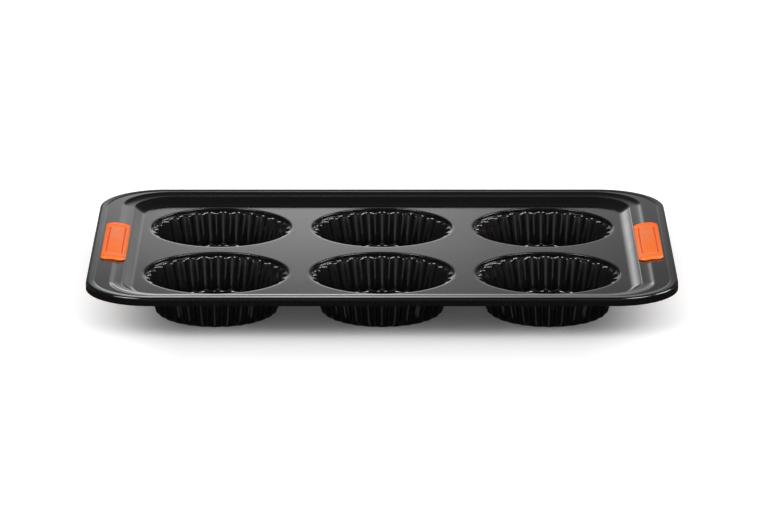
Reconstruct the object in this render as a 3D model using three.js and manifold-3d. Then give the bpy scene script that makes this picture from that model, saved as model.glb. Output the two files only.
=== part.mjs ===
// Fluted tartlet pan: a pressed steel tray with six cups, a loose base in each cup and two silicone grips.
// Millimetres, +Z up, +X along the length of the tray and +Y towards its back.
// The origin is the centre of the footprint, on the surface that the cups stand on.

import * as THREE from 'three';
import Module from 'manifold-3d';

// Steel sheet
const SHEET = 0.9;

// Pattern of cups
const COLUMNS = 3;
const ROWS = 2;
const COLUMN_PITCH = 115;
const ROW_PITCH = 115;

// Cup: a smooth round throat below the deck, a narrow shoulder, then fluted walls that taper down to an
// inward ledge
const THROAT_RADIUS = 49.2;
const THROAT_DEPTH = 2.3;
const MOUTH_FILLET = 2;
const CUP_DEPTH = 26.2;
const LOBE_TOP_RADIUS = 47.8;
const LOBE_FOOT_RADIUS = 41.2;
const LEDGE_WIDTH = 6;
const PARTING_GAP = 0.3;

// Flutes: wide lobes that bulge out, with narrower ridges between them
const FLUTES = 28;
const FLUTE_DEPTH = 2.2;
const SHOULDER_DROP = 1.2;
const RIDGE_SHARE = 0.22;
const LOBE_SHARE = 0.4;

// Loose base
const BASE_THICKNESS = 1;
const BASE_CLEARANCE = 0.6;
const BASE_SEAT_GAP = 0.3;

// Deck beyond the mouths
const END_MARGIN = 4.5;
const SIDE_MARGIN = 5.9;

// Rim, outward from the deck: riser, sloping tread, land, rolled edge and flange
const FOOT_BEND_RADIUS = 7;
const RISER_ANGLE = THREE.MathUtils.degToRad(32);
const RISER_HEIGHT = 4.75;
const TREAD_RUN = 8;
const TREAD_RISE = 0.87;
const END_LAND = 13.65;
const SIDE_LAND = 4.85;
const LAND_RISE = 0.16;
const ROLL_RADIUS = 1.6;
const FLANGE_HEIGHT = 5.5;
const DECK_CORNER_RADIUS = 24;
const OUTER_CORNER_RADIUS = 45;

// Silicone grip: a pad above the rim, a neck through a slot in it and a pad below
const GRIP_LENGTH = 81;
const GRIP_WIDTH = 17.6;
const GRIP_FROM_EDGE = 7.3;
const GRIP_CORNER = 5;
const GRIP_LEAST_CORNER = 1.1;
const GRIP_INNER_THICKNESS = 1.65;
const GRIP_OUTER_THICKNESS = 1.7;
const GRIP_CROWN = 1.15;
const GRIP_EDGE = 0.9;
const GRIP_SIDE_FRAME = 2.6;
const GRIP_END_FRAME = 5;
const GRIP_RECESS = 0.6;
const GRIP_OVERLAP = 3.5;
const GRIP_UNDER_THICKNESS = 2;
const GRIP_UNDER_INSET = 1;
const GRIP_GAP = 0.3;

// Facets
const MOUTH_STEPS = 40;
const MOUTH_BEND_STEPS = 2;
const LEDGE_STEPS = FLUTES;
const BASE_STEPS = 34;
const CORNER_STEPS = 6;
const FOOT_BEND_STEPS = 2;
const ROLL_STEPS = 3;
const GRIP_CORNER_STEPS = 4;
const GRIP_END_STEPS = 4;

const COATING = new THREE.MeshStandardMaterial({ color: 0x141415, roughness: 0.22, metalness: 0 });
const SILICONE = new THREE.MeshStandardMaterial({ color: 0xf5711c, roughness: 0.55, metalness: 0 });

const wasm = await Module();
wasm.setup();

// A closed skin that is put together from loops of points.
// Every loop runs counter-clockwise seen from above. A band faces outwards where it goes from a lower
// loop to an upper one, and upwards where it goes from an outer loop to an inner one.
class Skin {
  points = [];
  faces = [];

  loop(points) {
    const first = this.points.length;
    this.points.push(...points);
    return points.map((point, i) => first + i);
  }

  band(from, to) {
    from.forEach((corner, i) => {
      const next = (i + 1) % from.length;
      this.faces.push([corner, from[next], to[next]], [corner, to[next], to[i]]);
    });
  }

  // A band between a fine loop and a coarse one, with the same number of fine steps for each coarse step
  fan(fine, coarse, fineFirst) {
    const share = fine.length / coarse.length;
    const add = (a, b, c) => this.faces.push(fineFirst ? [a, b, c] : [a, c, b]);
    coarse.forEach((corner, i) => {
      for (let j = 0; j < share; j++) {
        add(fine[i * share + j], fine[(i * share + j + 1) % fine.length], corner);
      }
      add(fine[((i + 1) * share) % fine.length], coarse[(i + 1) % coarse.length], corner);
    });
  }

  bands(loops) {
    loops.slice(1).forEach((loop, i) => this.band(loops[i], loop));
  }

  // A flat face with holes in it, facing up or down
  face(outline, holes, facesUp) {
    const flat = (loop) => loop.map((i) => new THREE.Vector2(this.points[i].x, this.points[i].y));
    const corners = [outline, ...holes].flat();
    for (const [a, b, c] of THREE.ShapeUtils.triangulateShape(flat(outline), holes.map(flat))) {
      const triangle = [corners[a], corners[b], corners[c]];
      const turn = THREE.ShapeUtils.area(flat(triangle));
      const turnsUp = turn > 0;
      this.faces.push(turnsUp === facesUp ? triangle : triangle.reverse());
    }
  }

  // A lid over a loop whose second half mirrors its first half
  lid(loop, facesUp) {
    const last = loop.length - 1;
    for (let i = 0; i < loop.length / 2 - 1; i++) {
      const [a, b, c, d] = [loop[i], loop[i + 1], loop[last - i - 1], loop[last - i]];
      this.faces.push(facesUp ? [a, b, c] : [a, c, b], facesUp ? [a, c, d] : [a, d, c]);
    }
  }

  geometry() {
    const geometry = new THREE.BufferGeometry().setFromPoints(this.points);
    geometry.setIndex(this.faces.flat());
    geometry.computeVertexNormals();
    return geometry;
  }
}

function solidOf(geometry) {
  const vertProperties = new Float32Array(geometry.attributes.position.array);
  const triVerts = new Uint32Array(geometry.index.array);
  return new wasm.Manifold(new wasm.Mesh({ numProp: 3, vertProperties, triVerts }));
}

function geometryOf(solid) {
  const { vertProperties, triVerts } = solid.getMesh();
  const geometry = new THREE.BufferGeometry();
  geometry.setAttribute('position', new THREE.BufferAttribute(new Float32Array(vertProperties), 3));
  geometry.setIndex(new THREE.BufferAttribute(new Uint32Array(triVerts), 1));
  geometry.computeVertexNormals();
  return geometry;
}

function circle(centre, radius, z, steps) {
  return Array.from({ length: steps }, (none, i) => {
    const turn = (2 * Math.PI * i) / steps;
    return new THREE.Vector3(centre.x + radius * Math.cos(turn), centre.y + radius * Math.sin(turn), z);
  });
}

function roundedRectangle(halfLength, halfWidth, radius, z) {
  const points = [];
  for (let corner = 0; corner < 4; corner++) {
    const x = (corner === 0 || corner === 3 ? 1 : -1) * (halfLength - radius);
    const y = (corner < 2 ? 1 : -1) * (halfWidth - radius);
    for (let step = 0; step <= CORNER_STEPS; step++) {
      const turn = ((corner + step / CORNER_STEPS) * Math.PI) / 2;
      points.push(new THREE.Vector3(x + radius * Math.cos(turn), y + radius * Math.sin(turn), z));
    }
  }
  return points;
}

// Sizes that follow from the driving dimensions
const deckHeight = CUP_DEPTH + SHEET;
const mouthRadius = THROAT_RADIUS + MOUTH_FILLET;
const deckHalfLength = ((COLUMNS - 1) / 2) * COLUMN_PITCH + mouthRadius + END_MARGIN;
const deckHalfWidth = ((ROWS - 1) / 2) * ROW_PITCH + mouthRadius + SIDE_MARGIN;
const ridgeFootRadius = LOBE_FOOT_RADIUS - FLUTE_DEPTH;
const rimStations = makeRimStations();
const rimRun = rimStations.at(-1).run;
const gripOuterX = deckHalfLength + rimRun + END_LAND - GRIP_FROM_EDGE;
const gripInnerX = gripOuterX - GRIP_WIDTH;

const cupCentres = [];
for (let row = 0; row < ROWS; row++) {
  for (let column = 0; column < COLUMNS; column++) {
    const x = (column - (COLUMNS - 1) / 2) * COLUMN_PITCH;
    const y = (row - (ROWS - 1) / 2) * ROW_PITCH;
    cupCentres.push(new THREE.Vector2(x, y));
  }
}

// The rim's upper face, as stations outward from the edge of the deck. `run` is the same on every side,
// `land` is the share of the land that is behind the station, and `slope` is the angle of the face there.
function makeRimStations() {
  const stations = [];
  const bendRadius = Math.min(FOOT_BEND_RADIUS, RISER_HEIGHT / (1 - Math.cos(RISER_ANGLE)));
  for (let i = 0; i <= FOOT_BEND_STEPS; i++) {
    const slope = (RISER_ANGLE * i) / FOOT_BEND_STEPS;
    const run = bendRadius * Math.sin(slope);
    const rise = bendRadius * (1 - Math.cos(slope));
    stations.push({ run, land: 0, rise, slope });
  }
  const bendEnd = stations.at(-1);
  const treadSlope = Math.atan2(TREAD_RISE, TREAD_RUN);
  const landSlope = Math.atan2(LAND_RISE, END_LAND);
  const creaseRun = bendEnd.run + (RISER_HEIGHT - bendEnd.rise) / Math.tan(RISER_ANGLE);
  const creaseSlope = (RISER_ANGLE + treadSlope) / 2;
  stations.push({ run: creaseRun, land: 0, rise: RISER_HEIGHT, slope: creaseSlope });
  const landRun = creaseRun + TREAD_RUN;
  const landFoot = RISER_HEIGHT + TREAD_RISE;
  stations.push({ run: landRun, land: 0, rise: landFoot, slope: (treadSlope + landSlope) / 2 });
  const crest = landFoot + LAND_RISE;
  for (let i = 0; i <= ROLL_STEPS; i++) {
    const slope = (-Math.PI / 2) * (i / ROLL_STEPS);
    const rise = crest - ROLL_RADIUS * (1 - Math.cos(slope));
    stations.push({ run: landRun - ROLL_RADIUS * Math.sin(slope), land: 1, rise, slope });
  }
  stations.push({ run: landRun + ROLL_RADIUS, land: 1, rise: crest - FLANGE_HEIGHT, slope: -Math.PI / 2 });
  return stations;
}

// The same stations on the lower face of the sheet
function underside({ run, land, rise, slope }) {
  return { run: run + SHEET * Math.sin(slope), land, rise: rise - SHEET * Math.cos(slope), slope };
}

function rimLoop({ run, land, rise }) {
  const share = (run / rimRun + land) / 2;
  const radius = THREE.MathUtils.lerp(DECK_CORNER_RADIUS, OUTER_CORNER_RADIUS, share);
  const halfLength = deckHalfLength + run + land * END_LAND;
  const halfWidth = deckHalfWidth + run + land * SIDE_LAND;
  return roundedRectangle(halfLength, halfWidth, radius, rise);
}

// Height of a face of the end rim above the deck, at a distance x from the middle of the tray
function endRimHeight(stations, x) {
  const reach = (station) => deckHalfLength + station.run + station.land * END_LAND;
  const next = Math.max(1, stations.findIndex((station) => reach(station) >= x));
  const [inner, outer] = [stations[next - 1], stations[next]];
  return THREE.MathUtils.mapLinear(x, reach(inner), reach(outer), inner.rise, outer.rise);
}

// Deck and rim, with a rounded mouth and a smooth throat at each cup. Its upper face is at height 0.
function makeDeck() {
  const skin = new Skin();
  const lowerLoops = rimStations.map((station) => skin.loop(rimLoop(underside(station))));
  const upperLoops = rimStations.map((station) => skin.loop(rimLoop(station)));
  skin.bands([...lowerLoops, ...upperLoops.toReversed()]);
  const throats = cupCentres.map((centre) => addThroat(skin, centre));
  skin.face(upperLoops[0], throats.map((throat) => throat.top), true);
  skin.face(lowerLoops[0], throats.map((throat) => throat.bottom), false);
  const slots = [0, Math.PI].map((turn) => slotCutter(turn));
  return geometryOf(slots.reduce((deck, slot) => deck.subtract(slot), solidOf(skin.geometry())));
}

function addThroat(skin, centre) {
  const loop = (radius, z) => skin.loop(circle(centre, radius, z, MOUTH_STEPS));
  const loops = [];
  for (let i = 0; i <= MOUTH_BEND_STEPS; i++) {
    const turn = (Math.PI / 2) * (i / MOUTH_BEND_STEPS);
    const radius = mouthRadius - MOUTH_FILLET * Math.sin(turn);
    loops.push(loop(radius, MOUTH_FILLET * (Math.cos(turn) - 1)));
  }
  loops.push(loop(THROAT_RADIUS, -THROAT_DEPTH));
  loops.push(loop(THROAT_RADIUS + SHEET, -THROAT_DEPTH));
  loops.push(loop(THROAT_RADIUS + SHEET, -SHEET));
  skin.bands(loops);
  return { top: loops[0], bottom: loops.at(-1) };
}

// One fluted cup, standing on height 0
function makeCup() {
  const skin = new Skin();
  const wallTop = deckHeight - THROAT_DEPTH - PARTING_GAP;
  const fluteTop = wallTop - SHOULDER_DROP;
  const outerFluteTop = fluteTop - SHEET;
  const taper = (LOBE_TOP_RADIUS - LOBE_FOOT_RADIUS) / (wallTop - SHEET);
  const wall = SHEET * Math.hypot(1, taper);
  const lobeRadius = (z) => LOBE_FOOT_RADIUS + taper * (z - SHEET);
  const ledgeRadius = ridgeFootRadius - LEDGE_WIDTH;
  const middle = new THREE.Vector2(0, 0);
  const loops = [
    skin.loop(flutedLoop(LOBE_FOOT_RADIUS + wall, FLUTE_DEPTH, 0)),
    skin.loop(flutedLoop(lobeRadius(outerFluteTop) + wall, FLUTE_DEPTH, outerFluteTop)),
    skin.loop(flutedLoop(THROAT_RADIUS + wall, 0, wallTop)),
    skin.loop(flutedLoop(THROAT_RADIUS, 0, wallTop)),
    skin.loop(flutedLoop(lobeRadius(fluteTop), FLUTE_DEPTH, fluteTop)),
    skin.loop(flutedLoop(LOBE_FOOT_RADIUS, FLUTE_DEPTH, SHEET)),
  ];
  const ledgeTop = skin.loop(circle(middle, ledgeRadius, SHEET, LEDGE_STEPS));
  const ledgeBottom = skin.loop(circle(middle, ledgeRadius, 0, LEDGE_STEPS));
  skin.bands(loops);
  skin.fan(loops.at(-1), ledgeTop, true);
  skin.band(ledgeTop, ledgeBottom);
  skin.fan(loops[0], ledgeBottom, false);
  return skin.geometry();
}

// A loop through the cup wall: two points across each lobe, then two across each ridge
function flutedLoop(lobeRadius, depth, z) {
  const points = [];
  for (let flute = 0; flute < FLUTES; flute++) {
    const corners = [
      [-LOBE_SHARE / 2, lobeRadius],
      [LOBE_SHARE / 2, lobeRadius],
      [(1 - RIDGE_SHARE) / 2, lobeRadius - depth],
      [(1 + RIDGE_SHARE) / 2, lobeRadius - depth],
    ];
    for (const [place, radius] of corners) {
      const turn = (2 * Math.PI * (flute + place)) / FLUTES;
      points.push(new THREE.Vector3(radius * Math.cos(turn), radius * Math.sin(turn), z));
    }
  }
  return points;
}

// Loose base: a plain round plate that passes up between the ridges
function makeBase() {
  const radius = ridgeFootRadius - BASE_CLEARANCE;
  const profile = [
    new THREE.Vector2(0, 0),
    new THREE.Vector2(radius, 0),
    new THREE.Vector2(radius, BASE_THICKNESS),
    new THREE.Vector2(0, BASE_THICKNESS),
  ];
  return new THREE.LatheGeometry(profile, BASE_STEPS).rotateX(Math.PI / 2);
}

// Outline of the right-hand grip in plan, drawn in by an inset. Its front half runs outwards, and its back
// half mirrors that on the way in. `height` gives the height at a distance x from the middle of the tray.
function gripLoop(inset, height, endInset = inset) {
  const outerX = gripOuterX - inset;
  const innerX = gripInnerX + inset;
  const frontY = -GRIP_LENGTH / 2 + endInset;
  const radius = Math.max(GRIP_CORNER - inset, GRIP_LEAST_CORNER);
  const front = [];
  for (let step = 0; step <= GRIP_CORNER_STEPS; step++) {
    const turn = (Math.PI / 2) * (step / GRIP_CORNER_STEPS);
    front.push([innerX + radius * (1 - Math.cos(turn)), frontY + radius * (1 - Math.sin(turn))]);
  }
  for (let step = 1; step < GRIP_END_STEPS; step++) {
    front.push([THREE.MathUtils.lerp(innerX + radius, outerX - radius, step / GRIP_END_STEPS), frontY]);
  }
  for (let step = 0; step <= GRIP_CORNER_STEPS; step++) {
    const turn = (Math.PI / 2) * (step / GRIP_CORNER_STEPS);
    front.push([outerX - radius * (1 - Math.sin(turn)), frontY + radius * (1 - Math.cos(turn))]);
  }
  const back = front.map(([x, y]) => [x, -y]).toReversed();
  return [...front, ...back].map(([x, y]) => new THREE.Vector3(x, y, height(x)));
}

// Height of the grip's crowned top above the deck
function gripTop(x) {
  const inner = endRimHeight(rimStations, gripInnerX) + GRIP_INNER_THICKNESS;
  const outer = endRimHeight(rimStations, gripOuterX) + GRIP_OUTER_THICKNESS;
  const across = (x - gripInnerX) / GRIP_WIDTH;
  return THREE.MathUtils.lerp(inner, outer, across) + GRIP_CROWN * 4 * across * (1 - across);
}

function makeGrip() {
  const skin = new Skin();
  const lowerStations = rimStations.map(underside);
  const above = (x) => endRimHeight(rimStations, x) + GRIP_GAP;
  const below = (x) => endRimHeight(lowerStations, x) - GRIP_GAP;
  const bottom = (x) => below(x) - GRIP_UNDER_THICKNESS;
  const recessed = (x) => gripTop(x) - GRIP_RECESS;
  const loop = (...outline) => skin.loop(gripLoop(...outline));
  const bevel = GRIP_EDGE * (1 - Math.SQRT1_2);
  const creaseX = deckHalfLength + rimStations[FOOT_BEND_STEPS + 1].run;
  const creaseInset = THREE.MathUtils.clamp(creaseX - gripInnerX, GRIP_OVERLAP / 4, (GRIP_OVERLAP * 3) / 4);
  const loops = [
    loop(GRIP_UNDER_INSET + GRIP_EDGE, bottom),
    loop(GRIP_UNDER_INSET, (x) => bottom(x) + GRIP_EDGE),
    loop(GRIP_UNDER_INSET, below),
    loop(GRIP_OVERLAP, below),
    loop(GRIP_OVERLAP, above),
    loop(creaseInset, above),
    loop(0, above),
    loop(0, (x) => gripTop(x) - GRIP_EDGE),
    loop(bevel, (x) => gripTop(x) - bevel),
    loop(GRIP_EDGE, gripTop),
    loop(GRIP_SIDE_FRAME, gripTop, GRIP_END_FRAME),
    loop(GRIP_SIDE_FRAME + GRIP_RECESS / 2, recessed, GRIP_END_FRAME + GRIP_RECESS / 2),
  ];
  skin.bands(loops);
  skin.lid(loops[0], false);
  skin.lid(loops.at(-1), true);
  return skin.geometry();
}

// The hole for a grip's neck, turned to one end of the tray
function slotCutter(turn) {
  const skin = new Skin();
  const reach = FLANGE_HEIGHT + SHEET;
  const lower = skin.loop(gripLoop(GRIP_OVERLAP - GRIP_GAP, () => -reach));
  const upper = skin.loop(gripLoop(GRIP_OVERLAP - GRIP_GAP, () => reach));
  skin.band(lower, upper);
  skin.lid(lower, false);
  skin.lid(upper, true);
  return solidOf(skin.geometry().rotateZ(turn));
}

function part(name, geometry, material, x, y, z) {
  const mesh = new THREE.Mesh(geometry, material);
  mesh.name = name;
  mesh.position.set(x, y, z);
  return mesh;
}

const group = new THREE.Group();
group.add(part('tray_deck', makeDeck(), COATING, 0, 0, deckHeight));

const cup = makeCup();
const base = makeBase();
cupCentres.forEach(({ x, y }, i) => {
  group.add(part(`cup_${i + 1}`, cup, COATING, x, y, 0));
  group.add(part(`base_${i + 1}`, base, COATING, x, y, SHEET + BASE_SEAT_GAP));
});

const grip = makeGrip();
group.add(part('grip_right', grip, SILICONE, 0, 0, deckHeight));
const leftGrip = part('grip_left', grip, SILICONE, 0, 0, deckHeight);
leftGrip.rotation.z = Math.PI;
group.add(leftGrip);

export default group;
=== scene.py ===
import math

import bpy
from mathutils import Matrix, Vector
from mathutils.geometry import tessellate_polygon


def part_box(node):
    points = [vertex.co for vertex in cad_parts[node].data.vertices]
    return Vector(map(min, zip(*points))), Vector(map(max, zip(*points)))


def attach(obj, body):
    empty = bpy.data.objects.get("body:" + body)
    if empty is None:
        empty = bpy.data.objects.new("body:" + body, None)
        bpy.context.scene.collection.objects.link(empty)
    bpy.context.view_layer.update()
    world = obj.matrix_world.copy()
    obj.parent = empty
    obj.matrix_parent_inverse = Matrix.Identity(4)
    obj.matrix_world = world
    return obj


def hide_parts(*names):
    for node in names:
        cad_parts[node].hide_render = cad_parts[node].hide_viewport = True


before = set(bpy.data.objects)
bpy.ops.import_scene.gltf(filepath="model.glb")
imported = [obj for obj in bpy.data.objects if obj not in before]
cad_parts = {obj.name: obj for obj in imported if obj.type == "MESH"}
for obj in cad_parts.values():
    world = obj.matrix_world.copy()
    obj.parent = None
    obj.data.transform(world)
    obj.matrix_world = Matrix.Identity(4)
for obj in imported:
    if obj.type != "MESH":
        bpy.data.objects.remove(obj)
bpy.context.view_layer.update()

# Shapes are drawn in millimetres, with heights from the upper face of the deck
MM = 0.001
TINY = 1e-6
SHEET = 0.9
SMOOTH_ANGLE = 40

# Cups
CUPS = range(1, 7)
CUP_PITCH = 115
MOUTH_RADIUS = 50.7
LEAD_IN = 2.4
LEAD_IN_SLOPE = 5
LEAD_IN_GAP = 0.3
MOUTH_BEND = 0.5
THROAT_SLOPE = 82
THROAT_DEPTH = 1.9
THROAT_LEAN = 0.2
CUP_DEPTH = 26.2
LOBE_TOP_RADIUS = 48.4
LOBE_FOOT_RADIUS = 41.6
LEDGE_RADIUS = 33
FOOT_FILLET = 1.6
FLUTES = 28
FLUTE_DEPTH = 2.8
FLUTE_FOOT_SHARE = 0.25
FLUTE_RUN_OUT = 5
SHOULDER_SLOPE = math.radians(8)
SHOULDER_ROUND = 1.5
SHOULDER_LEAST = 0.2
RIDGE_SHARPNESS = 0.25
FLUTE_STEPS = 12
CAP_STEPS = 8
WALL_STEPS = 3
RUN_OUT_STEPS = 4

# Deck and rim
DECK_HALF_LENGTH = 170.7
DECK_HALF_WIDTH = 114.6
DECK_CORNER_RADIUS = 24
OUTER_CORNER_RADIUS = 45
FLAT_BORDER = 0.4
END_LAND = 8.95
SIDE_LAND = 0.15
ROLL_RADIUS = 1.6
FLANGE_FOOT = 0.28
CORNER_STEPS = 24
BEND_STEPS = 6

# Slope in degrees of the rim's upper face, at distances out from the edge of the deck at the tray's ends.
# The land lies between LAND_START and LAND_END, and is shorter along the sides.
LAND_START = 17.8
LAND_END = LAND_START + END_LAND
RIM_SLOPES = [
    (0.0, 0.0),
    (2.0, 20.0),
    (3.2, 28.0),
    (5.2, 33.5),
    (7.8, 40.0),
    (8.5, 3.0),
    (10.5, 3.2),
    (13.2, 7.5),
    (14.2, 15.0),
    (15.2, 22.0),
    (16.2, 12.0),
    (17.2, 0.0),
    (LAND_START, 0.0),
    (LAND_END, 0.0),
    (LAND_END + 0.7, 10.0),
    (LAND_END + 1.5, 3.0),
    (LAND_END + 3.4, 2.6),
    (LAND_END + 3.9, 0.0),
    (LAND_END + 4.5, -6.0),
]

# Loose bases
BASE_EDGE = 0.25
BASE_EDGE_STEPS = 3
BASE_STEPS = 96

# Grips
GRIP_SMOOTH_ANGLE = 50
GRIP_CORNER = 5
GRIP_LEAST_CORNER = 1
GRIP_INNER_TOP = 5.55
GRIP_OUTER_TOP = 7.55
GRIP_CROWN = 1.15
GRIP_EDGE = 0.9
GRIP_END_REACH = 4
GRIP_END_BEVEL = 2.6
GRIP_LIP = 0.3
GRIP_SEAT = 0.1
GRIP_INNER_FOOT = 4.5
GRIP_OUTER_FOOT = 5.75
GRIP_SIDE_FRAME = 2.6
GRIP_END_FRAME = 7
GROOVE_EDGE = 0.35
GROOVE_LEAN = 0.1
GROOVE_WIDTH = 0.5
GROOVE_DEPTH = 1.1
PANEL_DROP = 0.15
GRIP_OVERLAP = 3.5
GRIP_UNDER_THICKNESS = 2
GRIP_UNDER_INSET = 1
SLOT_GAP = 0.3
GRIP_CORNER_STEPS = 8
GRIP_END_STEPS = 12
GRIP_EDGE_STEPS = 5

# Materials. A cloud or a grain is the scale and the detail of a noise, and a bump its strength and height.
NOISE_MIDDLE = (0.3, 0.7)
COATING_DARK = (0.002, 0.002, 0.0021, 1)
COATING_LIGHT = (0.0045, 0.0045, 0.0047, 1)
COATING_CLOUD = (45, 3)
COATING_GRAIN = (1600, 2)
COATING_BUMP = (0.03, 0.0002)
TRAY_ROUGHNESS = (0.095, 0.125)
BASE_ROUGHNESS = (0.185, 0.215)
SILICONE_DEEP = (0.95, 0.15, 0.002, 1)
SILICONE_PALE = (0.98, 0.175, 0.004, 1)
SILICONE_CLOUD = (120, 3)
SILICONE_GRAIN = (2500, 2)
SILICONE_BUMP = (0.12, 0.0001)
SILICONE_ROUGHNESS = (0.36, 0.44)
SILICONE_SPECULAR = 0.35
WHITE = (1, 1, 1, 1)

# Studio, in metres. A pool of light on the backdrop: centre and spread across and up, and strength.
BACKDROP_DISTANCE = 2.0
POOL_REACH = 2.2
POOL = [
    ((-0.09, 0.57), (0.19, 0.055), 0.85),
    ((-0.08, 0.42), (0.13, 0.05), 2.4),
    ((0.02, 0.55), (0.45, 0.14), 0.22),
    ((0.25, 0.33), (0.20, 0.12), 0.5),
    ((-0.28, 0.34), (0.07, 0.09), 1.7),
]
ROOM_RADIUS = 4
ROOM_LOW = 0.03
ROOM_HIGH = 0.08
ROOM_HEIGHTS = (0.0, 3.0)
BACK_LEVEL = 0.2
BACK_DEPTHS = (0.0, 1.5)
BACK_FOOT = (-0.25, 0.0)
BACK_HEAD = (0.3, 1.0)
FRONT_LEVEL = 0.13
FRONT_DEPTHS = (0.5, -1.5)
FRONT_FOOT = (0.3, 0.8)
FRONT_HEAD = (1.2, 2.4)
FLOOR_REACH = 12
FLOOR_COLOUR = (0.93, 0.93, 0.93, 1)
# Painted light on the floor, seen by the camera only: weak near the tray and strong beyond these edges across
# and along it, so a painted shade lies round the tray besides its real shadow
PAINTED_LIGHT_NEAR_TRAY = 0.05
PAINTED_LIGHT_OPEN_FLOOR = 0.36
PAINTED_LIGHT_EDGES = {"X": (0.13, 0.21), "Y": (0.16, 0.26)}
WORLD_LOW = 0.8
WORLD_HIGH = 0.42
WORLD_HEIGHTS = (0.0, 0.8)

# Softboxes: azimuth and elevation in degrees, half width, half height, strength and distance
SOFTBOXES = {
    "front_softbox": (180, 24, 0.7, 0.6, 0.25, 3.0),
    "front_wide_softbox": (180, 24, 1.7, 0.6, 0.4, 3.1),
    "left_softbox": (100, 62, 0.6, 0.6, 15.0, 3.0),
    "right_softbox": (-100, 62, 0.6, 0.6, 15.0, 3.0),
    "back_softbox": (-60, 38, 0.6, 0.6, 10.0, 3.0),
    "floor_softbox": (175, -48, 0.5, 0.6, 0.35, 3.0),
}

# Lamps: place, width, height and power in watts
LAMPS = {
    "front_lamp": ((0.0, -2.2, 2.2), 4.0, 1.4, 40),
    "left_lamp": ((-2.1, -1.5, 1.6), 2.4, 1.4, 30),
    "right_lamp": ((2.1, -1.5, 1.6), 2.4, 1.4, 30),
}

# Camera, fitted to the six cup mouths in the photograph
CAMERA_LENS_MM = 238.97
CAMERA_SENSOR_MM = 36
CAMERA_REACH = 50
CAMERA_TILT = math.radians(16.288)
CAMERA_DISTANCE = 3567.1
CAMERA_AIM = Vector((0.34, -13.62, 0))

deck_height = CUP_DEPTH + SHEET
deck_level = Vector((0, 0, deck_height))
rim_width = RIM_SLOPES[-1][0] + ROLL_RADIUS


class Surface:
    """One mesh in millimetres, put together from loops that run anticlockwise from above."""

    def __init__(self):
        self.points = []
        self.faces = []

    def loop(self, points):
        first = len(self.points)
        self.points.extend(points)
        return range(first, len(self.points))

    def band(self, outer, inner, left_out=()):
        """Faces that look up from an outer loop to an inner one, or out from a lower loop to an upper one."""
        count = len(outer)
        for i in range(count):
            j = (i + 1) % count
            if i not in left_out:
                self.faces.append((outer[i], outer[j], inner[j], inner[i]))

    def bands(self, loops):
        for outer, inner in zip(loops, loops[1:]):
            self.band(outer, inner)

    def plane(self, outline, holes):
        """A level face with holes in it, looking up."""
        loops = [outline, *holes]
        corners = [corner for loop in loops for corner in loop]
        drawn = [[self.points[corner] for corner in loop] for loop in loops]
        for triangle in tessellate_polygon(drawn):
            a, b, c = (corners[corner] for corner in triangle)
            across = self.points[b] - self.points[a]
            along = self.points[c] - self.points[a]
            self.faces.append((a, b, c) if across.cross(along).z > 0 else (a, c, b))

    def lid(self, loop, looks_up=True):
        """A lid over a loop whose second half mirrors its first half."""
        count = len(loop)
        for i in range(count // 2 - 1):
            face = (loop[i], loop[i + 1], loop[count - 2 - i], loop[count - 1 - i])
            self.faces.append(face if looks_up else face[::-1])

    def piece(self, name, material, smooth_angle=SMOOTH_ANGLE):
        mesh = bpy.data.meshes.new(name)
        mesh.from_pydata([(point + deck_level) * MM for point in self.points], [], self.faces)
        mesh.materials.append(material)
        piece = bpy.data.objects.new(name, mesh)
        bpy.context.scene.collection.objects.link(piece)
        smooth(mesh, smooth_angle)
        return piece


def smooth(mesh, angle):
    mesh.shade_smooth()
    mesh.set_sharp_from_angle(angle=math.radians(angle))


def thicken(piece, thickness, smooth_angle=SMOOTH_ANGLE):
    """Gives a sheet its thickness below its upper face."""
    solid = piece.modifiers.new("thickness", "SOLIDIFY")
    solid.thickness = thickness * MM
    solid.offset = -1
    solid.use_even_offset = True
    depsgraph = bpy.context.evaluated_depsgraph_get()
    mesh = bpy.data.meshes.new_from_object(piece.evaluated_get(depsgraph))
    piece.modifiers.clear()
    piece.data = mesh
    mesh.name = piece.name
    smooth(mesh, smooth_angle)


def on_circle(centre, radius, turn, height):
    return Vector((centre.x + radius * math.cos(turn), centre.y + radius * math.sin(turn), height))


def lerp(a, b, share):
    return a + (b - a) * share


def bezier(first, corner, last, share):
    return lerp(lerp(first, corner, share), lerp(corner, last, share), share)


def steps(count):
    """Shares from 0 to 1 in even steps."""
    return [i / count for i in range(count + 1)]


# Rim: height of its upper face by distance out from the edge of the deck
def rim_slope(distance):
    for (start, first), (end, last) in zip(RIM_SLOPES, RIM_SLOPES[1:]):
        if distance <= end:
            return math.radians(lerp(first, last, (distance - start) / (end - start)))
    return 0.0


def rim_stations(extra):
    """Distances and heights from the edge of the deck to the flange's foot."""
    bends = [lerp(start, end, share) for (start, _), (end, _) in zip(RIM_SLOPES, RIM_SLOPES[1:])
             for share in steps(BEND_STEPS)]
    distances = sorted({round(distance, 6) for distance in bends + extra})
    stations = [(-FLAT_BORDER, 0.0), (0.0, 0.0)]
    for start, end in zip(distances, distances[1:]):
        rise = (end - start) * math.tan((rim_slope(start) + rim_slope(end)) / 2)
        stations.append((end, stations[-1][1] + rise))
    crest_distance, crest = stations[-1]
    for share in steps(BEND_STEPS)[1:]:
        turn = share * math.pi / 2
        drop = ROLL_RADIUS * (1 - math.cos(turn))
        stations.append((crest_distance + ROLL_RADIUS * math.sin(turn), crest - drop))
    stations.append((rim_width, FLANGE_FOOT))
    return stations


def rim_height(stations, x):
    """Height of the rim's upper face at a distance x from the middle of the tray, at its ends."""
    distance = abs(x) - DECK_HALF_LENGTH
    for (start, low), (end, high) in zip(stations, stations[1:]):
        if start <= distance <= end:
            return lerp(low, high, (distance - start) / (end - start))
    return 0.0


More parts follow.
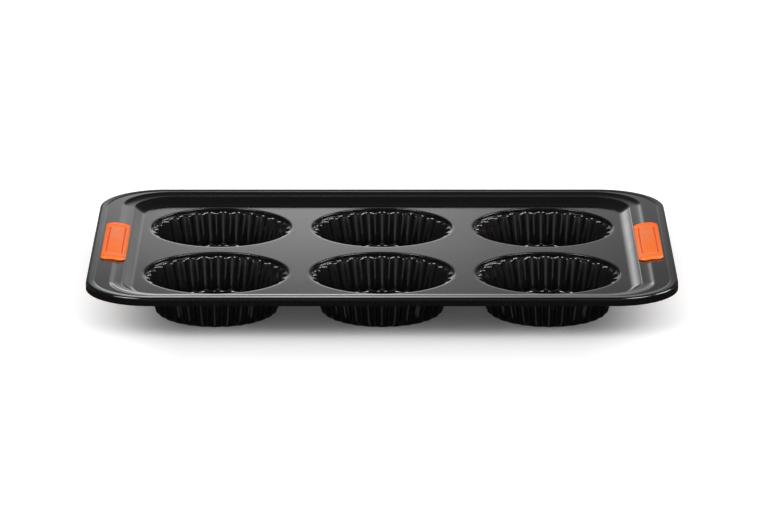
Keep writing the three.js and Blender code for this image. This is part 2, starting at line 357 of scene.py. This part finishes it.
def rim_loop(distance, height, end_places):
    """A rounded rectangle round the deck, with points of its own at the given places along each end."""
    land_share = min(max((distance - LAND_START) / END_LAND, 0), 1)
    half_length = DECK_HALF_LENGTH + distance
    half_width = DECK_HALF_WIDTH + distance - land_share * (END_LAND - SIDE_LAND)
    radius = lerp(DECK_CORNER_RADIUS, OUTER_CORNER_RADIUS, distance / rim_width)
    points = []
    for quarter in range(4):
        side_x = 1 if quarter in (0, 3) else -1
        side_y = 1 if quarter < 2 else -1
        for share in steps(CORNER_STEPS):
            turn = (quarter + share) * math.pi / 2
            x = side_x * (half_length - radius) + radius * math.cos(turn)
            y = side_y * (half_width - radius) + radius * math.sin(turn)
            points.append(Vector((x, y, height)))
        if quarter == 1:
            points.extend(Vector((-half_length, -y, height)) for y in end_places)
        if quarter == 3:
            points.extend(Vector((half_length, y, height)) for y in end_places)
    return points


# Cups
def lobe_radius(height):
    """Radius of the lobes' bottoms, which lean in from the throat to the foot."""
    return lerp(LOBE_TOP_RADIUS, LOBE_FOOT_RADIUS, (-height - THROAT_DEPTH) / (CUP_DEPTH - THROAT_DEPTH))


def flute_depth(height):
    """Depth of the flutes, which run out softly just above the foot."""
    share = min(max((height + CUP_DEPTH) / FLUTE_RUN_OUT, 0), 1)
    return FLUTE_DEPTH * lerp(FLUTE_FOOT_SHARE, 1, share * share * (3 - 2 * share))


def ridge_share(turn):
    """How far a ridge stands in from the lobes, from 0 in the middle of a lobe to 1 on a ridge's crest."""
    wave = FLUTES * turn
    return (1 - math.cos(wave - RIDGE_SHARPNESS * math.sin(wave))) / 2


def lead_in_width(centre, turn):
    """Width of the soft dip round a mouth, which stops short of the rim and of the next cup's dip."""
    across = math.cos(turn)
    along = math.sin(turn)
    room_x = min(CUP_PITCH / 2, DECK_HALF_LENGTH - math.copysign(1, across) * centre.x)
    room_y = min(CUP_PITCH / 2, DECK_HALF_WIDTH - math.copysign(1, along) * centre.y)
    room = min(room_x / max(abs(across), TINY), room_y / max(abs(along), TINY))
    return min(LEAD_IN, room - MOUTH_RADIUS - FLAT_BORDER - LEAD_IN_GAP)


def cup_ring(centre, place):
    """A ring of points round a cup, where `place` gives the radius and the height at an angle."""
    count = FLUTES * FLUTE_STEPS
    points = []
    for i in range(count):
        turn = 2 * math.pi * i / count
        radius, height = place(turn)
        points.append(on_circle(centre, radius, turn, height))
    return points


def mouth_profile():
    """Insets and drops of the bend from the edge of a mouth into its throat."""
    start = math.radians(LEAD_IN_SLOPE)
    profile = []
    for share in steps(BEND_STEPS):
        angle = lerp(start, math.radians(THROAT_SLOPE), share)
        profile.append((MOUTH_BEND * (math.sin(angle) - math.sin(start)),
                        MOUTH_BEND * (math.cos(start) - math.cos(angle))))
    return profile


def add_cup(surface, centre):
    """The inside of one cup, from the deck round its mouth down to the edge of its ledge."""

    def lead_in(share):
        def place(turn):
            width = lead_in_width(centre, turn)
            drop = width * math.tan(math.radians(LEAD_IN_SLOPE)) * share ** 3 / 3
            return MOUTH_RADIUS + width * (1 - share), -drop
        return place

    def bend(inset, drop):
        def place(turn):
            radius, height = lead_in(1)(turn)
            return radius - inset, height - drop
        return place

    profile = mouth_profile()
    throat_radius = MOUTH_RADIUS - profile[-1][0] - THROAT_LEAN

    def wall_radius(height, turn):
        return lobe_radius(height) - flute_depth(height) * ridge_share(turn)

    def shoulder(radius):
        return -THROAT_DEPTH - (throat_radius - radius) * math.tan(SHOULDER_SLOPE)

    def shoulder_edge(turn):
        return shoulder(wall_radius(-THROAT_DEPTH, turn))

    def throat(turn):
        return throat_radius, -THROAT_DEPTH

    def cap(share):
        def place(turn):
            edge = shoulder_edge(turn)
            end = edge - SHOULDER_ROUND
            edge_radius = wall_radius(edge, turn)
            start_radius = min(edge_radius + SHOULDER_ROUND, throat_radius - SHOULDER_LEAST)
            radius = bezier(start_radius, edge_radius, wall_radius(end, turn), share)
            return radius, bezier(shoulder(start_radius), edge, end, share)
        return place

    def wall(share):
        def place(turn):
            height = lerp(shoulder_edge(turn) - SHOULDER_ROUND, FLUTE_RUN_OUT - CUP_DEPTH, share)
            return wall_radius(height, turn), height
        return place

    def run_out(share):
        height = lerp(FLUTE_RUN_OUT, FOOT_FILLET, share) - CUP_DEPTH
        return lambda turn: (wall_radius(height, turn), height)

    def foot(share):
        angle = share * math.pi / 2
        height = FOOT_FILLET * (1 - math.sin(angle)) - CUP_DEPTH
        inset = FOOT_FILLET * (1 - math.cos(angle))
        return lambda turn: (wall_radius(height, turn) - inset, height)

    places = [lead_in(share) for share in steps(BEND_STEPS)[:-1]]
    places += [bend(inset, drop) for inset, drop in profile]
    places.append(throat)
    places += [cap(share) for share in steps(CAP_STEPS)]
    places += [wall(share) for share in steps(WALL_STEPS)[1:]]
    places += [run_out(share) for share in steps(RUN_OUT_STEPS)[1:-1]]
    places += [foot(share) for share in steps(BEND_STEPS)]
    places.append(lambda turn: (LEDGE_RADIUS, -CUP_DEPTH))
    loops = [surface.loop(cup_ring(centre, place)) for place in places]
    surface.bands(loops)
    return loops[0]


def middle(node):
    low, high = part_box(node)
    return (low + high) / 2 / MM


def make_tray(material):
    """The whole pressing: flange, rim, deck and cups, as one sheet."""
    low, high = (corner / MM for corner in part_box("grip_right"))
    inset = GRIP_OVERLAP - SLOT_GAP
    slot_end = high.y - inset
    slot_inner = low.x + inset - DECK_HALF_LENGTH
    slot_outer = high.x - inset - DECK_HALF_LENGTH
    stations = rim_stations([slot_inner, slot_outer])
    end_places = [-slot_end, slot_end]
    surface = Surface()
    loops = [surface.loop(rim_loop(distance, height, end_places)) for distance, height in stations]
    corner_points = CORNER_STEPS + 1
    left_slot = 2 * corner_points
    right_slot = 4 * corner_points + len(end_places)
    for i in range(len(stations) - 1, 0, -1):
        in_slot = slot_inner - TINY <= stations[i - 1][0] and stations[i][0] <= slot_outer + TINY
        surface.band(loops[i], loops[i - 1], (left_slot, right_slot) if in_slot else ())
    mouths = [add_cup(surface, middle(f"cup_{i}")) for i in CUPS]
    surface.plane(loops[0], mouths)
    tray = surface.piece("tray_shell", material)
    thicken(tray, SHEET)
    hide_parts("tray_deck", *(f"cup_{i}" for i in CUPS))
    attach(tray, "tray")
    return stations


def make_base(number, material):
    """A plain round plate with rounded edges."""
    node = f"base_{number}"
    low, high = (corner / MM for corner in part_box(node))
    centre = (low + high) / 2
    radius = (high.x - low.x) / 2
    angles = [2 * math.pi * i / BASE_STEPS for i in range(BASE_STEPS)]
    surface = Surface()
    loops = []
    for level, lift in ((low.z, 1), (high.z, -1)):
        shares = steps(BASE_EDGE_STEPS) if lift > 0 else steps(BASE_EDGE_STEPS)[::-1]
        for share in shares:
            turn = share * math.pi / 2
            reach = radius - BASE_EDGE * (1 - math.sin(turn))
            height = level + lift * BASE_EDGE * (1 - math.cos(turn)) - deck_height
            loops.append(surface.loop([on_circle(centre, reach, angle, height) for angle in angles]))
    surface.bands(loops)
    surface.faces.append(tuple(reversed(loops[0])))
    surface.faces.append(tuple(loops[-1]))
    base = surface.piece(f"base_plate_{number}", material)
    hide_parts(node)
    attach(base, f"loose_base_{number}")


def make_grip(side, stations, material):
    """One silicone moulding: a framed pad above the rim, a neck through its slot and a pad below."""
    node = f"grip_{side}"
    low, high = (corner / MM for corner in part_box("grip_right"))
    surface = Surface()

    def outline(inset, height, end_inset=None, end_drop=None):
        inner_x = low.x + inset
        outer_x = high.x - inset
        front_y = low.y + (inset if end_inset is None else end_inset)
        radius = max(GRIP_CORNER - inset, GRIP_LEAST_CORNER)
        front = []
        for share in steps(GRIP_CORNER_STEPS):
            turn = share * math.pi / 2
            front.append((inner_x + radius * (1 - math.cos(turn)), front_y + radius * (1 - math.sin(turn))))
        for share in steps(GRIP_END_STEPS)[1:-1]:
            front.append((lerp(inner_x + radius, outer_x - radius, share), front_y))
        for share in steps(GRIP_CORNER_STEPS):
            turn = share * math.pi / 2
            front.append((outer_x - radius * (1 - math.sin(turn)), front_y + radius * (1 - math.cos(turn))))
        points = []
        for x, y in front:
            end_share = max(1 - (y - front_y) / radius, 0)
            drop = end_share * end_drop(x) if end_drop else 0
            points.append(Vector((x, y, height(x) - drop)))
        points += [Vector((point.x, -point.y, point.z)) for point in reversed(points)]
        return surface.loop(points)

    def top(x):
        across = (x - low.x) / (high.x - low.x)
        return lerp(GRIP_INNER_TOP, GRIP_OUTER_TOP, across) + GRIP_CROWN * 4 * across * (1 - across)

    def seat(x):
        return rim_height(stations, x) + GRIP_SEAT

    def foot(x):
        return max(lerp(GRIP_INNER_FOOT, GRIP_OUTER_FOOT, (x - low.x) / (high.x - low.x)), seat(x))

    def under(x):
        return rim_height(stations, x) - SHEET - GRIP_SEAT

    def below(base, drop):
        return lambda x: base(x) - drop

    def panel_ring(run, drop):
        return outline(GRIP_SIDE_FRAME + run, below(top, drop), GRIP_END_FRAME + run)

    bottom = below(under, GRIP_UNDER_THICKNESS)
    loops = []
    for share in steps(GRIP_EDGE_STEPS):
        turn = share * math.pi / 2
        inset = GRIP_UNDER_INSET + GRIP_EDGE * (1 - math.sin(turn))
        loops.append(outline(inset, below(bottom, -GRIP_EDGE * (1 - math.cos(turn)))))
    loops.append(outline(GRIP_UNDER_INSET, under))
    loops.append(outline(GRIP_OVERLAP, under))
    loops.append(outline(GRIP_OVERLAP, seat))
    for share in steps(GRIP_EDGE_STEPS):
        turn = share * math.pi / 2
        inset = GRIP_LIP * (1 - math.sin(turn))
        rise = GRIP_LIP * (1 - math.cos(turn))
        loops.append(outline(inset, below(seat, -rise), inset - GRIP_END_REACH, lambda x: seat(x) - foot(x)))
    for share in steps(GRIP_EDGE_STEPS):
        turn = share * math.pi / 2
        curve = 1 - math.cos(turn)
        fall = 1 - math.sin(turn)
        end_inset = GRIP_END_BEVEL * curve - GRIP_END_REACH
        loops.append(outline(GRIP_EDGE * curve, below(top, GRIP_EDGE * fall), end_inset,
                             lambda x: fall * (top(x) - foot(x) - GRIP_LIP - GRIP_EDGE)))
    for share in steps(GRIP_EDGE_STEPS):
        turn = share * math.pi / 2
        loops.append(panel_ring(GROOVE_EDGE * math.sin(turn), GROOVE_EDGE * (1 - math.cos(turn))))
    groove_start = GROOVE_EDGE + GROOVE_LEAN
    groove_end = groove_start + GROOVE_WIDTH
    loops.append(panel_ring(groove_start, GROOVE_DEPTH))
    loops.append(panel_ring(groove_end, GROOVE_DEPTH))
    for share in steps(GRIP_EDGE_STEPS):
        turn = share * math.pi / 2
        run = groove_end + GROOVE_LEAN + GROOVE_EDGE * (1 - math.cos(turn))
        loops.append(panel_ring(run, PANEL_DROP + GROOVE_EDGE * (1 - math.sin(turn))))
    surface.bands(loops)
    surface.lid(loops[0], looks_up=False)
    surface.lid(loops[-1])
    grip = surface.piece(f"grip_pad_{side}", material, GRIP_SMOOTH_ANGLE)
    if side == "left":
        grip.data.transform(Matrix.Rotation(math.pi, 4, "Z"))
    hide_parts(node)
    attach(grip, "tray")


# Materials
class Nodes:
    """A short way to add and link the nodes of one material or world."""

    def __init__(self, owner):
        owner.use_nodes = True
        self.tree = owner.node_tree

    def add(self, kind, settings=None, **inputs):
        node = self.tree.nodes.new(kind)
        for name, value in (settings or {}).items():
            setattr(node, name, value)
        for name, value in inputs.items():
            self.set(node, name.replace("_", " "), value)
        return node

    def set(self, node, name, value):
        socket = node.inputs[int(name)] if name.isdigit() else node.inputs[name]
        if isinstance(value, bpy.types.NodeSocket):
            self.tree.links.new(value, socket)
        else:
            socket.default_value = value

    def math(self, operation, first, second=0.0):
        return self.add("ShaderNodeMath", {"operation": operation}, **{"0": first, "1": second}).outputs[0]


def surface_noise(nodes, scale, detail):
    place = nodes.add("ShaderNodeTexCoord").outputs["Object"]
    noise = nodes.add("ShaderNodeTexNoise", Vector=place, Scale=scale, Detail=detail)
    return noise.outputs["Fac"]


def ramp(nodes, source, limits, low=0.0, high=1.0):
    """A number that goes from low to high as the source goes from one limit to the other."""
    start, end = limits
    node = nodes.add("ShaderNodeMapRange", Value=source, From_Min=start, From_Max=end,
                     To_Min=low, To_Max=high)
    return node.outputs["Result"]


def shades(nodes, source, dark, light):
    """Maps the middle of a noise onto a range of colours."""
    node = nodes.add("ShaderNodeValToRGB", Fac=source)
    for element, position, colour in zip(node.color_ramp.elements, NOISE_MIDDLE, (dark, light)):
        element.position = position
        element.color = colour
    return node.outputs["Color"]


def bump(nodes, source, strength, height):
    node = nodes.add("ShaderNodeBump", Strength=strength, Distance=height, Height=source)
    return node.outputs["Normal"]


def coating(name, roughness):
    material = bpy.data.materials.new(name)
    nodes = Nodes(material)
    shader = nodes.tree.nodes["Principled BSDF"]
    cloud = surface_noise(nodes, *COATING_CLOUD)
    grain = surface_noise(nodes, *COATING_GRAIN)
    nodes.set(shader, "Base Color", shades(nodes, grain, COATING_DARK, COATING_LIGHT))
    nodes.set(shader, "Roughness", ramp(nodes, cloud, NOISE_MIDDLE, *roughness))
    nodes.set(shader, "Normal", bump(nodes, grain, *COATING_BUMP))
    return material


def silicone():
    material = bpy.data.materials.new("orange_silicone")
    nodes = Nodes(material)
    shader = nodes.tree.nodes["Principled BSDF"]
    cloud = surface_noise(nodes, *SILICONE_CLOUD)
    grain = surface_noise(nodes, *SILICONE_GRAIN)
    nodes.set(shader, "Base Color", shades(nodes, cloud, SILICONE_DEEP, SILICONE_PALE))
    nodes.set(shader, "Roughness", ramp(nodes, grain, NOISE_MIDDLE, *SILICONE_ROUGHNESS))
    nodes.set(shader, "Specular IOR Level", SILICONE_SPECULAR)
    nodes.set(shader, "Normal", bump(nodes, grain, *SILICONE_BUMP))
    return material


# Studio
def only_in_reflections(card):
    card.visible_camera = False
    card.visible_diffuse = False
    card.visible_transmission = False
    card.visible_volume_scatter = False
    card.visible_shadow = False


def add_floor():
    mesh = bpy.data.meshes.new("floor")
    signs = [(-1, -1), (1, -1), (1, 1), (-1, 1)]
    mesh.from_pydata([(x * FLOOR_REACH, y * FLOOR_REACH, 0) for x, y in signs], [], [(0, 1, 2, 3)])
    floor = bpy.data.objects.new("floor", mesh)
    bpy.context.scene.collection.objects.link(floor)
    material = bpy.data.materials.new("floor_white")
    nodes = Nodes(material)
    shader = nodes.tree.nodes["Principled BSDF"]
    nodes.set(shader, "Base Color", FLOOR_COLOUR)
    nodes.set(shader, "Roughness", 1.0)
    nodes.set(shader, "Specular IOR Level", 0.0)
    nodes.set(shader, "Emission Color", WHITE)
    # Painted light: for camera rays the floor gives off light of its own, weak within a box round the tray
    # and strong beyond it, which whitens the open floor and leaves a painted shade round the tray besides its
    # real shadow
    place = nodes.add("ShaderNodeTexCoord").outputs["Object"]
    axes = nodes.add("ShaderNodeSeparateXYZ", Vector=place).outputs
    painted_lights = []
    for axis, (start, end) in PAINTED_LIGHT_EDGES.items():
        away = nodes.math("ABSOLUTE", axes[axis])
        glow = nodes.add("ShaderNodeMapRange", {"interpolation_type": "SMOOTHSTEP"}, Value=away,
                         From_Min=start, From_Max=end, To_Min=PAINTED_LIGHT_NEAR_TRAY, To_Max=PAINTED_LIGHT_OPEN_FLOOR)
        painted_lights.append(glow.outputs["Result"])
    seen = nodes.add("ShaderNodeLightPath").outputs["Is Camera Ray"]
    nodes.set(shader, "Emission Strength", nodes.math("MULTIPLY", nodes.math("MAXIMUM", *painted_lights), seen))
    mesh.materials.append(material)
    floor.visible_glossy = False


def add_world():
    world = bpy.data.worlds.new("studio")
    bpy.context.scene.world = world
    nodes = Nodes(world)
    background = nodes.tree.nodes["Background"]
    nodes.set(background, "Color", WHITE)
    direction = nodes.add("ShaderNodeTexCoord").outputs["Generated"]
    height = nodes.add("ShaderNodeSeparateXYZ", Vector=direction).outputs["Z"]
    nodes.set(background, "Strength", ramp(nodes, height, WORLD_HEIGHTS, WORLD_LOW, WORLD_HIGH))


def add_card(name, corners):
    mesh = bpy.data.meshes.new(name)
    mesh.from_pydata(corners, [], [(0, 1, 2, 3)])
    card = bpy.data.objects.new(name, mesh)
    bpy.context.scene.collection.objects.link(card)
    only_in_reflections(card)
    return card


def glow_nodes(card):
    material = bpy.data.materials.new(card.name + "_glow")
    card.data.materials.append(material)
    nodes = Nodes(material)
    nodes.tree.nodes.clear()
    place = nodes.add("ShaderNodeTexCoord").outputs["Object"]
    axes = nodes.add("ShaderNodeSeparateXYZ", Vector=place).outputs
    return nodes, axes


def finish_glow(nodes, strength, see_through=False):
    glow = nodes.add("ShaderNodeEmission", Strength=strength)
    surface = glow.outputs["Emission"]
    if see_through:
        clear = nodes.add("ShaderNodeBsdfTransparent").outputs["BSDF"]
        surface = nodes.add("ShaderNodeAddShader", **{"0": surface, "1": clear}).outputs["Shader"]
    nodes.add("ShaderNodeOutputMaterial", Surface=surface)


def add_room():
    """The dim room that the gloss reflects, lighter low down behind the tray and in front of it."""
    bpy.ops.mesh.primitive_uv_sphere_add(segments=64, ring_count=32, radius=ROOM_RADIUS)
    room = bpy.context.object
    room.name = "room"
    only_in_reflections(room)
    nodes, axes = glow_nodes(room)

    def band(level, depths, foot, head):
        """Light of one level on one side of the room, fading at its foot and its head."""
        side = nodes.math("MULTIPLY", ramp(nodes, axes["Z"], head, level, 0.0),
                          ramp(nodes, axes["Y"], depths))
        return nodes.math("MULTIPLY", side, ramp(nodes, axes["Z"], foot))

    back = band(BACK_LEVEL, BACK_DEPTHS, BACK_FOOT, BACK_HEAD)
    front = band(FRONT_LEVEL, FRONT_DEPTHS, FRONT_FOOT, FRONT_HEAD)
    level = ramp(nodes, axes["Z"], ROOM_HEIGHTS, ROOM_LOW, ROOM_HIGH)
    finish_glow(nodes, nodes.math("ADD", nodes.math("ADD", back, front), level))


def add_light_pool():
    """A pool of light on the backdrop, low behind the tray and left of its middle."""
    corners = [(-POOL_REACH, 0), (POOL_REACH, 0), (POOL_REACH, POOL_REACH), (-POOL_REACH, POOL_REACH)]
    pool = add_card("light_pool", [(x, BACKDROP_DISTANCE, z) for x, z in corners])
    nodes, axes = glow_nodes(pool)

    def blob(centre, spread, strength):
        parts = []
        for axis, middle_place, width in zip(("X", "Z"), centre, spread):
            off = nodes.math("DIVIDE", nodes.math("SUBTRACT", axes[axis], middle_place), width)
            parts.append(nodes.math("MULTIPLY", off, off))
        fall = nodes.math("MULTIPLY", nodes.math("ADD", *parts), -0.5)
        return nodes.math("MULTIPLY", nodes.math("EXPONENT", fall), strength)

    glow = blob(*POOL[0])
    for part in POOL[1:]:
        glow = nodes.math("ADD", glow, blob(*part))
    finish_glow(nodes, glow, see_through=True)


def add_softbox(name, azimuth, elevation, half_width, half_height, strength, distance):
    """A plain light card that faces the tray, placed by its angles from the middle of the tray."""
    turn = Matrix.Rotation(math.radians(azimuth), 4, "Z") @ Matrix.Rotation(math.radians(elevation), 4, "X")
    corners = [(-half_width, distance, -half_height), (half_width, distance, -half_height),
               (half_width, distance, half_height), (-half_width, distance, half_height)]
    card = add_card(name, [turn @ Vector(corner) for corner in corners])
    nodes, _ = glow_nodes(card)
    finish_glow(nodes, strength, see_through=True)


def add_lamp(name, place, width, height, power):
    """A soft lamp on the tray that the gloss does not show."""
    data = bpy.data.lights.new(name, "AREA")
    data.shape = "RECTANGLE"
    data.size = width
    data.size_y = height
    data.energy = power
    lamp = bpy.data.objects.new(name, data)
    bpy.context.scene.collection.objects.link(lamp)
    lamp.location = place
    lamp.rotation_euler = (-lamp.location).to_track_quat("-Z", "Y").to_euler()
    lamp.visible_glossy = False


def add_camera():
    data = bpy.data.cameras.new("camera")
    data.lens = CAMERA_LENS_MM
    data.sensor_width = CAMERA_SENSOR_MM
    data.sensor_fit = "HORIZONTAL"
    data.clip_end = CAMERA_REACH
    camera = bpy.data.objects.new("camera", data)
    bpy.context.scene.collection.objects.link(camera)
    look = Vector((0, math.cos(CAMERA_TILT), -math.sin(CAMERA_TILT)))
    camera.location = (CAMERA_AIM + deck_level - look * CAMERA_DISTANCE) * MM
    camera.rotation_euler = (math.pi / 2 - CAMERA_TILT, 0, 0)
    bpy.context.scene.camera = camera


rim = make_tray(coating("tray_coating", TRAY_ROUGHNESS))
base_coating = coating("base_coating", BASE_ROUGHNESS)
for number in CUPS:
    make_base(number, base_coating)
grip_silicone = silicone()
for side in ("left", "right"):
    make_grip(side, rim, grip_silicone)

add_floor()
add_world()
add_room()
add_light_pool()
for name, softbox in SOFTBOXES.items():
    add_softbox(name, *softbox)
for name, lamp in LAMPS.items():
    add_lamp(name, *lamp)
add_camera()
bpy.context.scene.view_settings.view_transform = "Standard"
